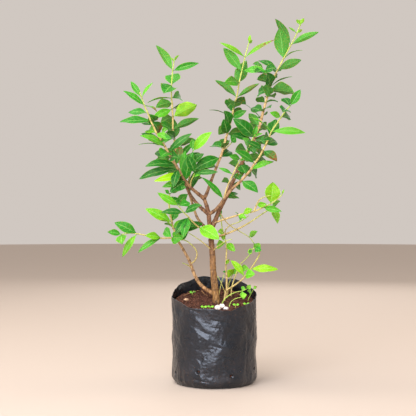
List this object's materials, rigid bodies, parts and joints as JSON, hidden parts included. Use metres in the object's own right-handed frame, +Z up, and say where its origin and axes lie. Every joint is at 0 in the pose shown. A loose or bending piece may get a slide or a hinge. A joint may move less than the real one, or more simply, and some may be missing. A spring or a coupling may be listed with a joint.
{
  "type": "potted henna shrub",
  "caption": "Young henna shrub with upright leafy leaders in a black polythene nursery bag of soil, standing on the bag's flat bottom.",
  "frame": {"origin": "middle of the bag's flat bottom", "axes": "+Z up; -Y is the side the picture shows, with +X to the viewer's right"},
  "size_m": [0.325, 0.1825, 0.5662],
  "materials": {
    "bag_film": "satin",
    "soil": "matte",
    "pale_stone": "matte",
    "tan_stone": "matte",
    "dry_twig": "matte",
    "bark": "matte",
    "foliage": "satin",
    "weed": "satin"
  },
  "bodies": {
    "root": {"grow_bag": "bag_film", "soil": "soil", "pale_lump_large": "pale_stone", "pale_lump_middle": "pale_stone", "pale_lump_small": "pale_stone", "tan_pebble": "tan_stone", "fallen_twig_left": "dry_twig", "fallen_twig_middle": "dry_twig", "fallen_twig_back": "dry_twig", "trunk": "bark", "left_leader": "foliage", "left_mid_leader": "foliage", "left_inner_branch": "foliage", "centre_leader": "foliage", "right_leader": "foliage", "right_outer_leader": "foliage", "right_inner_shoot": "foliage", "left_basal_shoot": "foliage", "left_low_twig": "foliage", "left_fan_twig": "foliage", "left_knot_twig": "foliage", "left_back_twig": "foliage", "left_loop_twig": "bark", "left_bare_twig": "bark", "trunk_left_twig": "bark", "trunk_right_twig": "bark", "centre_side_shoot": "foliage", "right_top_shoot": "foliage", "right_low_branch": "foliage", "right_high_branch": "foliage", "right_upright_twig": "foliage", "right_arching_twig": "foliage", "thin_shoot": "foliage", "green_twig": "foliage", "hooked_shoot": "foliage", "back_right_shoot": "foliage", "right_sprig": "foliage", "leaning_dry_twig": "bark", "back_dry_twig": "bark", "weed_sprig": "weed", "weed_runner": "weed", "rim_weed": "weed", "seedling_1": "weed", "seedling_2": "weed", "seedling_3": "weed", "seedling_4": "weed", "seedling_5": "weed"}
  },
  "joints": []
}
